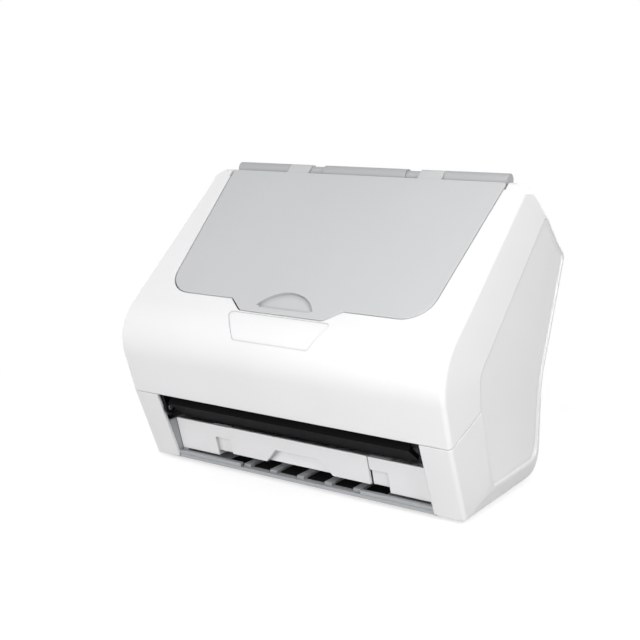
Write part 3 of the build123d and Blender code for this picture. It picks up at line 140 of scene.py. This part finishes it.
class Shader:
    """A material's node tree with short ways to add and link nodes."""

    def __init__(self, name):
        self.material = bpy.data.materials.new(name)
        self.material.use_nodes = True
        self.tree = self.material.node_tree
        self.tree.nodes.clear()
        self.output = self.add("ShaderNodeOutputMaterial")
        self.body = self.add("ShaderNodeBsdfPrincipled")
        self.link(self.body, "BSDF", self.output, "Surface")
        self.place = self.add("ShaderNodeTexCoord")

    def add(self, kind, **settings):
        node = self.tree.nodes.new(kind)
        for key, value in settings.items():
            setattr(node, key, value)
        return node

    def link(self, source, output, target, socket):
        self.tree.links.new(source.outputs[output], target.inputs[socket])

    def noise(self, scale, detail=3.0, stretch=None):
        node = self.add("ShaderNodeTexNoise")
        node.inputs["Scale"].default_value = scale
        node.inputs["Detail"].default_value = detail
        if stretch:
            mapping = self.add("ShaderNodeMapping")
            mapping.inputs["Scale"].default_value = stretch
            self.link(self.place, "Object", mapping, "Vector")
            self.link(mapping, "Vector", node, "Vector")
        else:
            self.link(self.place, "Object", node, "Vector")
        return node

    def ramp(self, source, output, low, high, dark, light):
        """A colour ramp from dark to light between two values of a source."""
        node = self.add("ShaderNodeValToRGB")
        node.color_ramp.elements[0].position = low
        node.color_ramp.elements[0].color = dark
        node.color_ramp.elements[1].position = high
        node.color_ramp.elements[1].color = light
        self.link(source, output, node, "Fac")
        return node

    def spread(self, source, output, low, high):
        """A source's 0 to 1 stretched to run from low to high."""
        node = self.add("ShaderNodeMapRange")
        node.inputs["To Min"].default_value = low
        node.inputs["To Max"].default_value = high
        self.link(source, output, node, "Value")
        return node

    def edges(self, radius, gain):
        """A rounded normal, and how far it leaves the true one, which is high along edges."""
        bevel = self.add("ShaderNodeBevel", samples=bevel_samples)
        bevel.inputs["Radius"].default_value = radius
        geometry = self.add("ShaderNodeNewGeometry")
        dot = self.add("ShaderNodeVectorMath", operation="DOT_PRODUCT")
        self.link(bevel, "Normal", dot, 0)
        self.link(geometry, "Normal", dot, 1)
        mask = self.add("ShaderNodeMath", operation="SUBTRACT", use_clamp=True)
        mask.inputs[0].default_value = 1.0
        self.link(dot, "Value", mask, 1)
        more = self.add("ShaderNodeMath", operation="MULTIPLY", use_clamp=True)
        self.link(mask, "Value", more, 0)
        more.inputs[1].default_value = gain
        return bevel, more

    def bump(self, source, output, strength, distance, normal=None):
        node = self.add("ShaderNodeBump")
        node.inputs["Strength"].default_value = strength
        node.inputs["Distance"].default_value = distance
        self.link(source, output, node, "Height")
        if normal:
            self.link(normal, "Normal", node, "Normal")
        return node

    def mix(self, factor, output, first, second):
        """Two colours mixed by a factor; each is a colour or a (node, output) pair."""
        node = self.add("ShaderNodeMix", data_type="RGBA")
        self.link(factor, output, node, 0)
        for index, colour in ((6, first), (7, second)):
            if isinstance(colour[0], bpy.types.Node):
                self.tree.links.new(colour[0].outputs[colour[1]], node.inputs[index])
            else:
                node.inputs[index].default_value = colour
        return node


def shade(colour, factor):
    """A linear colour made darker or paler."""
    return (colour[0] * factor, colour[1] * factor, colour[2] * factor, 1.0)


def moulded_plastic(name, colour, roughness, grain, depth, edge=0.0006, edge_highlight=1.06, specular=0.5):
    """Moulded plastic: fine spark grain, faint flow clouds, a painted highlight along edges and
    painted shade in inner corners.
    """
    s = Shader(name)
    cloud = s.noise(9.0, 2.0)
    fine = s.noise(grain, 2.0)
    tint = s.ramp(cloud, "Fac", 0.3, 0.7, shade(colour, 0.972), colour)
    # Painted highlight: edges are made paler than the plain colour, where the rounded normal
    # leaves the true one.
    bevel, mask = s.edges(edge, edge_gain)
    highlit_edge = s.mix(mask, "Value", (tint, "Color"), shade(colour, edge_highlight))
    # Painted shade: inner corners are darkened by ambient occlusion over a short reach.
    corner_occlusion = s.add("ShaderNodeAmbientOcclusion", samples=corner_shade_samples, only_local=True)
    corner_occlusion.inputs["Distance"].default_value = corner_shade_reach
    corner_shaded = s.mix(corner_occlusion, "AO", shade(colour, corner_shade_level), (highlit_edge, 2))
    s.link(corner_shaded, 2, s.body, "Base Color")
    rough = s.spread(fine, "Fac", roughness - 0.06, roughness + 0.06)
    s.link(rough, "Result", s.body, "Roughness")
    bump = s.bump(fine, "Fac", 0.35, depth, bevel)
    s.link(bump, "Normal", s.body, "Normal")
    s.body.inputs["IOR"].default_value = 1.5
    s.body.inputs["Specular IOR Level"].default_value = specular
    return s.material


def plated_steel(name, colour, roughness):
    """Zinc-plated steel: a fine rolled grain, faint spangle, and edges brightened as a painted
    highlight.
    """
    s = Shader(name)
    rolled = s.noise(900.0, 2.0, (0.06, 1.0, 1.0))
    spangle = s.add("ShaderNodeTexVoronoi")
    spangle.inputs["Scale"].default_value = 160.0
    s.link(s.place, "Object", spangle, "Vector")
    tint = s.ramp(spangle, "Distance", 0.0, 0.9, shade(colour, 0.86), colour)
    # Painted highlight: edges are made brighter than the plain colour.
    bevel, mask = s.edges(0.0003, 2.0)
    highlit_edge = s.mix(mask, "Value", (tint, "Color"), shade(colour, 1.12))
    s.link(highlit_edge, 2, s.body, "Base Color")
    s.body.inputs["Metallic"].default_value = 1.0
    rough = s.spread(rolled, "Fac", roughness - 0.1, roughness + 0.1)
    s.link(rough, "Result", s.body, "Roughness")
    bump = s.bump(rolled, "Fac", 0.2, 0.00004, bevel)
    s.link(bump, "Normal", s.body, "Normal")
    return s.material


def rubber(name, colour):
    """Matt rubber with a pitted skin and a dusty bloom."""
    s = Shader(name)
    pits = s.noise(1400.0, 4.0)
    bloom = s.noise(60.0, 3.0)
    tint = s.ramp(bloom, "Fac", 0.35, 0.75, colour, shade(colour, 1.7))
    s.link(tint, "Color", s.body, "Base Color")
    rough = s.spread(pits, "Fac", 0.78, 0.96)
    s.link(rough, "Result", s.body, "Roughness")
    bump = s.bump(pits, "Fac", 0.5, 0.0001)
    s.link(bump, "Normal", s.body, "Normal")
    s.body.inputs["Specular IOR Level"].default_value = 0.3
    return s.material


def felt(name, colour):
    """Black felt: matted fibres with a dusty nap."""
    s = Shader(name)
    fibres = s.noise(2600.0, 5.0, (1.0, 0.25, 1.0))
    tint = s.ramp(fibres, "Fac", 0.35, 0.8, colour, shade(colour, 2.2))
    s.link(tint, "Color", s.body, "Base Color")
    s.body.inputs["Roughness"].default_value = 0.95
    s.body.inputs["Specular IOR Level"].default_value = 0.1
    bump = s.bump(fibres, "Fac", 0.6, 0.00015)
    s.link(bump, "Normal", s.body, "Normal")
    return s.material


def sensor_glass(name):
    """Dark polished glass with a faint film of dust."""
    s = Shader(name)
    dust = s.noise(380.0, 6.0)
    tint = s.ramp(dust, "Fac", 0.45, 0.8, srgb(14, 20, 22), srgb(32, 38, 40))
    s.link(tint, "Color", s.body, "Base Color")
    rough = s.spread(dust, "Fac", 0.02, 0.14)
    s.link(rough, "Result", s.body, "Roughness")
    s.body.inputs["Coat Weight"].default_value = 1.0
    s.body.inputs["Coat Roughness"].default_value = 0.03
    return s.material


def circuit_board(name):
    """Green solder mask with paler copper runs showing through it."""
    s = Shader(name)
    bricks = s.add("ShaderNodeTexBrick", offset=0.5, squash=1.0)
    bricks.inputs["Scale"].default_value = 260.0
    bricks.inputs["Mortar Size"].default_value = 0.035
    bricks.inputs["Color1"].default_value = srgb(20, 84, 52)
    bricks.inputs["Color2"].default_value = srgb(26, 96, 58)
    bricks.inputs["Mortar"].default_value = srgb(44, 128, 78)
    turn = s.add("ShaderNodeMapping")
    turn.inputs["Rotation"].default_value = (pi / 2, 0.0, 0.0)
    s.link(s.place, "Object", turn, "Vector")
    s.link(turn, "Vector", bricks, "Vector")
    s.link(bricks, "Color", s.body, "Base Color")
    fine = s.noise(500.0, 2.0)
    rough = s.spread(fine, "Fac", 0.28, 0.42)
    s.link(rough, "Result", s.body, "Roughness")
    bump = s.bump(bricks, "Fac", 0.3, 0.00005)
    s.link(bump, "Normal", s.body, "Normal")
    return s.material


finishes = {
    "casing": moulded_plastic("casing", srgb(243, 243, 244), 0.36, 1500.0, 0.00002, 0.0012, 1.03),
    "lid_grey": moulded_plastic("lid_grey", srgb(202, 203, 204), 0.5, 1100.0, 0.00004,
                                0.0006, 1.16),
    "base_grey": moulded_plastic("base_grey", srgb(172, 174, 177), 0.5, 1100.0, 0.00004),
    "drawer_white": moulded_plastic("drawer_white", srgb(245, 245, 246), 0.42, 1300.0, 0.00003,
                                    0.0006, 1.03),
    "black_plastic": moulded_plastic("black_plastic", srgb(13, 13, 14), 0.7, 1100.0, 0.00004,
                                     0.0004, 1.8, 0.06),
    "plated_steel": plated_steel("plated_steel", srgb(196, 198, 202), 0.34),
    "black_zinc": plated_steel("black_zinc", srgb(34, 34, 36), 0.5),
    # A darker copy of lid_grey for the hinge rail: painted shade.
    "rail_shaded_grey": moulded_plastic("rail_shaded_grey", srgb(178, 179, 181), 0.5, 1100.0, 0.00004,
                                 0.0006, 1.16),
    "bronze": plated_steel("bronze", srgb(176, 132, 84), 0.38),
    "rubber": rubber("rubber", srgb(34, 34, 36)),
    "sensor_glass": sensor_glass("sensor_glass"),
    "motor_metal": plated_steel("motor_metal", srgb(150, 152, 156), 0.42),
    "circuit_board": circuit_board("circuit_board"),
    "socket_metal": plated_steel("socket_metal", srgb(170, 172, 176), 0.3),
    "felt": felt("felt", srgb(15, 15, 16)),
    "gear_nylon": moulded_plastic("gear_nylon", srgb(232, 228, 214), 0.4, 900.0, 0.00003, 0.0003),
}

# Nodes whose finish isn't the one of their slot
special_finishes = {"hinge_arms": "black_zinc", "hinge_rail": "rail_shaded_grey"}


def dress_nodes():
    """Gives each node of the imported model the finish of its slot, or one of its own."""
    for name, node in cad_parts.items():
        for holder in node.material_slots:
            slot = holder.material.name.split(".")[0]
            holder.material = finishes[special_finishes.get(name, slot)]


# Pieces

def add_piece(name, mesh, body, finish, smooth=True):
    """Puts a bmesh into the scene as a piece that rides on a body and wears a finish."""
    data = bpy.data.meshes.new(name)
    bmesh.ops.recalc_face_normals(mesh, faces=mesh.faces)
    mesh.to_mesh(data)
    mesh.free()
    for polygon in data.polygons:
        polygon.use_smooth = smooth
    piece = bpy.data.objects.new(name, data)
    bpy.context.scene.collection.objects.link(piece)
    data.materials.append(finishes[finish])
    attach(piece, body)


def sweep_round(mesh, points, radius, sides):
    """A round bar along a run of points, closed at both ends."""
    rings = []
    for i, point in enumerate(points):
        before = points[max(i - 1, 0)]
        after = points[min(i + 1, len(points) - 1)]
        along = (after - before).normalized()
        across = along.orthogonal().normalized()
        up = along.cross(across)
        ring = []
        for k in range(sides):
            turn = 2 * pi * k / sides
            ring.append(mesh.verts.new(point + radius * (across * cos(turn) + up * sin(turn))))
        rings.append(ring)
    for first, second in zip(rings, rings[1:]):
        shift = min(range(sides), key=lambda n: (first[0].co - second[n].co).length)
        for k in range(sides):
            mesh.faces.new((first[k], first[(k + 1) % sides],
                            second[(k + 1 + shift) % sides], second[(k + shift) % sides]))
    mesh.faces.new(rings[0])
    mesh.faces.new(rings[-1])


def join_rings(mesh, rings):
    """Faces between rings of one count of points, and a face over each end."""
    count = len(rings[0])
    for first, second in zip(rings, rings[1:]):
        for k in range(count):
            mesh.faces.new((first[k], first[(k + 1) % count],
                            second[(k + 1) % count], second[k]))
    mesh.faces.new(rings[0])
    mesh.faces.new(rings[-1])


def plate(mesh, low, high, corner, steps):
    """A flat plate with rounded corners and a chamfered top edge, between two corner points."""
    chamfer = (high.z - low.z) / 3
    rings = []
    for z, inset in ((low.z, 0.0), (high.z - chamfer, 0.0), (high.z, chamfer)):
        ring = []
        for cx, cy, start in ((high.x, high.y, 0.0), (low.x, high.y, 0.5 * pi),
                              (low.x, low.y, pi), (high.x, low.y, 1.5 * pi)):
            sign_x = 1 if cx == high.x else -1
            sign_y = 1 if cy == high.y else -1
            for k in range(steps + 1):
                turn = start + 0.5 * pi * k / steps
                reach = corner - inset
                ring.append(mesh.verts.new((cx - sign_x * corner + reach * cos(turn),
                                            cy - sign_y * corner + reach * sin(turn), z)))
        rings.append(ring)
    join_rings(mesh, rings)


def build_seam_tongues():
    """The side covers' tongues, which fill the seam behind the front cover's edge."""
    for side, name in ((1, "seam_tongue_right"), (-1, "seam_tongue_left")):
        run = Vector(seam_corner) - Vector(seam_front)
        start = Vector(seam_front) + run.normalized() * seam_start
        share = seam_start / run.length
        low_x = seam_low_half_width + share * (seam_half_width - seam_low_half_width)
        points = []
        for (y, z), x in ((start, low_x), (seam_corner, seam_half_width),
                          (seam_brow, seam_half_width), (seam_ridge, seam_half_width)):
            points.append(Vector((side * (x - tongue_depth), y, z)))
        mesh = bmesh.new()
        sweep_round(mesh, points, tongue_radius, tongue_sides)
        add_piece(name, mesh, "base", "casing")


def inset_outline(corners, grow, steps):
    """The corners' outline with each edge moved in by its own inset, less grow, and rounded."""
    count = len(corners)
    lines = []
    for i in range(count):
        start, end = Vector(corners[i][0]), Vector(corners[(i + 1) % count][0])
        along = (end - start).normalized()
        inward = Vector((along.y, -along.x))
        lines.append((start + inward * (corners[i][2] - grow), along))
    points = []
    for i in range(count):
        (first, before), (second, after) = lines[i - 1], lines[i]
        cross = before.x * after.y - before.y * after.x
        gap = second - first
        corner = first + before * ((gap.x * after.y - gap.y * after.x) / cross)
        turn = before.angle(after)
        reach = corners[i][1] * tan(turn / 2)
        centre_way = (after - before).normalized()
        centre = corner + centre_way * (corners[i][1] / cos(turn / 2))
        start = corner - before * reach - centre
        sign = 1 if cross > 0 else -1
        for k in range(steps + 1):
            angle = sign * turn * k / steps
            spun = Vector((start.x * cos(angle) - start.y * sin(angle),
                           start.x * sin(angle) + start.y * cos(angle)))
            points.append(centre + spun)
    return points


def panel_cutter(side):
    """The space above the sunk panel, whose floor tilts away from the seam."""
    low, high = Vector(seam_corner), Vector(seam_ridge)
    seam = (high - low).normalized()
    away = Vector((seam.y, -seam.x))
    mesh = bmesh.new()
    rings = []
    for height, grow in panel_wall:
        ring = []
        for point in inset_outline(panel_corners, grow, corner_steps):
            drop = panel_depth + panel_tilt * (point - low).dot(away)
            x = side * (seam_half_width - drop + height)
            ring.append(mesh.verts.new((x, point.x, point.y)))
        rings.append(ring)
    join_rings(mesh, rings)
    bmesh.ops.recalc_face_normals(mesh, faces=mesh.faces)
    data = bpy.data.meshes.new("panel_cutter")
    mesh.to_mesh(data)
    mesh.free()
    return bpy.data.objects.new("panel_cutter", data)


def build_side_shells():
    """Side covers with the panel sunk by a soft step, in place of the plain nodes."""
    for side, word in ((1, "right"), (-1, "left")):
        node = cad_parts["side_cover_" + word]
        welded = bmesh.new()
        welded.from_mesh(node.data)
        bmesh.ops.remove_doubles(welded, verts=welded.verts, dist=weld_distance)
        copy = node.data.copy()
        welded.to_mesh(copy)
        welded.free()
        shell = bpy.data.objects.new("side_shell_" + word, copy)
        cutter = panel_cutter(side)
        for thing in (shell, cutter):
            bpy.context.scene.collection.objects.link(thing)
        cut = shell.modifiers.new("panel", "BOOLEAN")
        cut.operation = "DIFFERENCE"
        cut.solver = "MANIFOLD"
        cut.object = cutter
        graph = bpy.context.evaluated_depsgraph_get()
        data = bpy.data.meshes.new_from_object(shell.evaluated_get(graph))
        shell.modifiers.clear()
        shell.data = data
        bpy.data.objects.remove(cutter)
        old_normals = data.attributes.get("custom_normal")
        if old_normals:
            data.attributes.remove(old_normals)
        for polygon in data.polygons:
            polygon.use_smooth = True
        data.set_sharp_from_angle(angle=radians(sharp_angle))
        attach(shell, "base")
        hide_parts("side_cover_" + word)


def build_floor_pads():
    """Black felt pads on the chassis floor, one in each gap between the ribs."""
    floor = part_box("bottom_chassis")[0][2] + floor_plate
    mesh = bmesh.new()
    for i in range(-pads_each_side, pads_each_side):
        low = i * rib_pitch + rib_width / 2 + pad_gap
        high = (i + 1) * rib_pitch - rib_width / 2 - pad_gap
        plate(mesh, Vector((low, pad_front, floor)),
              Vector((high, pad_rear, floor + pad_thickness)), pad_corner, pad_corner_steps)
    add_piece("floor_pads", mesh, "base", "felt", False)


# Stage, lights and camera

def stage_material():
    """A white floor: it keeps the object's shadow, and fades to plain white further out."""
    s = Shader("stage_white")
    grain = s.noise(30.0, 2.0)
    tint = s.ramp(grain, "Fac", 0.3, 0.7, srgb(180, 180, 180), srgb(184, 184, 184))
    s.link(tint, "Color", s.body, "Base Color")
    s.body.inputs["Roughness"].default_value = 0.9
    s.body.inputs["Specular IOR Level"].default_value = 0.0
    distance = s.add("ShaderNodeVectorMath", operation="LENGTH")
    s.link(s.place, "Object", distance, 0)
    fade = s.spread(distance, "Value", 0.0, 1.0)
    fade.interpolation_type = "SMOOTHSTEP"
    fade.inputs["From Min"].default_value = shadow_inner
    fade.inputs["From Max"].default_value = shadow_outer
    path = s.add("ShaderNodeLightPath")
    seen = s.add("ShaderNodeMath", operation="MAXIMUM")
    s.link(path, "Is Camera Ray", seen, 0)
    s.link(path, "Is Glossy Ray", seen, 1)
    factor = s.add("ShaderNodeMath", operation="MULTIPLY")
    s.link(fade, "Result", factor, 0)
    s.link(seen, "Value", factor, 1)
    white = s.add("ShaderNodeEmission")
    white.inputs["Strength"].default_value = 1.0
    lift = s.add("ShaderNodeEmission")
    amount = s.add("ShaderNodeMath", operation="MULTIPLY")
    s.link(seen, "Value", amount, 0)
    amount.inputs[1].default_value = floor_lift
    s.link(amount, "Value", lift, "Strength")
    lifted = s.add("ShaderNodeAddShader")
    s.link(s.body, "BSDF", lifted, 0)
    s.link(lift, "Emission", lifted, 1)
    mix = s.add("ShaderNodeMixShader")
    s.link(factor, "Value", mix, "Fac")
    s.tree.links.new(lifted.outputs["Shader"], mix.inputs[1])
    s.tree.links.new(white.outputs["Emission"], mix.inputs[2])
    s.link(mix, "Shader", s.output, "Surface")
    return s.material


def build_stage():
    """A round floor under the object, which is no part of it."""
    mesh = bpy.data.meshes.new("floor")
    disc = bmesh.new()
    bmesh.ops.create_circle(disc, cap_ends=True, segments=floor_segments, radius=floor_radius)
    disc.to_mesh(mesh)
    disc.free()
    floor = bpy.data.objects.new("floor", mesh)
    bpy.context.scene.collection.objects.link(floor)
    mesh.materials.append(stage_material())


def build_world():
    """White where the camera, a mirror or glass looks at it, and softer as a light."""
    world = bpy.data.worlds.new("studio")
    bpy.context.scene.world = world
    world.use_nodes = True
    tree = world.node_tree
    tree.nodes.clear()
    output = tree.nodes.new("ShaderNodeOutputWorld")
    path = tree.nodes.new("ShaderNodeLightPath")
    lit = tree.nodes.new("ShaderNodeBackground")
    seen = tree.nodes.new("ShaderNodeBackground")
    lit.inputs["Strength"].default_value = world_strength
    seen.inputs["Strength"].default_value = 1.0
    for node in (lit, seen):
        node.inputs["Color"].default_value = (1.0, 1.0, 1.0, 1.0)
    mix = tree.nodes.new("ShaderNodeMixShader")
    direct = tree.nodes.new("ShaderNodeMath")
    direct.operation = "MAXIMUM"
    looked_at = tree.nodes.new("ShaderNodeMath")
    looked_at.operation = "MAXIMUM"
    tree.links.new(path.outputs["Is Camera Ray"], direct.inputs[0])
    tree.links.new(path.outputs["Is Glossy Ray"], direct.inputs[1])
    tree.links.new(direct.outputs[0], looked_at.inputs[0])
    tree.links.new(path.outputs["Is Transmission Ray"], looked_at.inputs[1])
    tree.links.new(looked_at.outputs[0], mix.inputs[0])
    tree.links.new(lit.outputs[0], mix.inputs[1])
    tree.links.new(seen.outputs[0], mix.inputs[2])
    tree.links.new(mix.outputs[0], output.inputs["Surface"])


def area_lamp(name, place, size, power):
    """A soft square lamp that looks at the object."""
    data = bpy.data.lights.new(name, "AREA")
    data.size = size
    data.energy = power
    lamp = bpy.data.objects.new(name, data)
    bpy.context.scene.collection.objects.link(lamp)
    lamp.location = place
    turn = (Vector(lamp_aim) - Vector(place)).to_track_quat("-Z", "Y")
    lamp.rotation_euler = turn.to_euler()


def build_lights():
    for name, place, size, power in lamps:
        area_lamp(name, place, size, power)


def build_camera():
    """The camera that stands where the photograph was taken from."""
    data = bpy.data.cameras.new("camera")
    data.lens = camera_lens
    data.sensor_width = camera_sensor
    data.clip_start = camera_clip_near
    data.clip_end = camera_clip_far
    camera = bpy.data.objects.new("camera", data)
    bpy.context.scene.collection.objects.link(camera)
    camera.location = camera_at
    turn = (Vector(camera_target) - Vector(camera_at)).to_track_quat("-Z", "Y")
    camera.rotation_euler = turn.to_euler()
    bpy.context.scene.camera = camera


dress_nodes()
build_side_shells()
build_seam_tongues()
build_floor_pads()
build_stage()
build_world()
build_lights()
build_camera()
bpy.context.scene.view_settings.view_transform = "Standard"
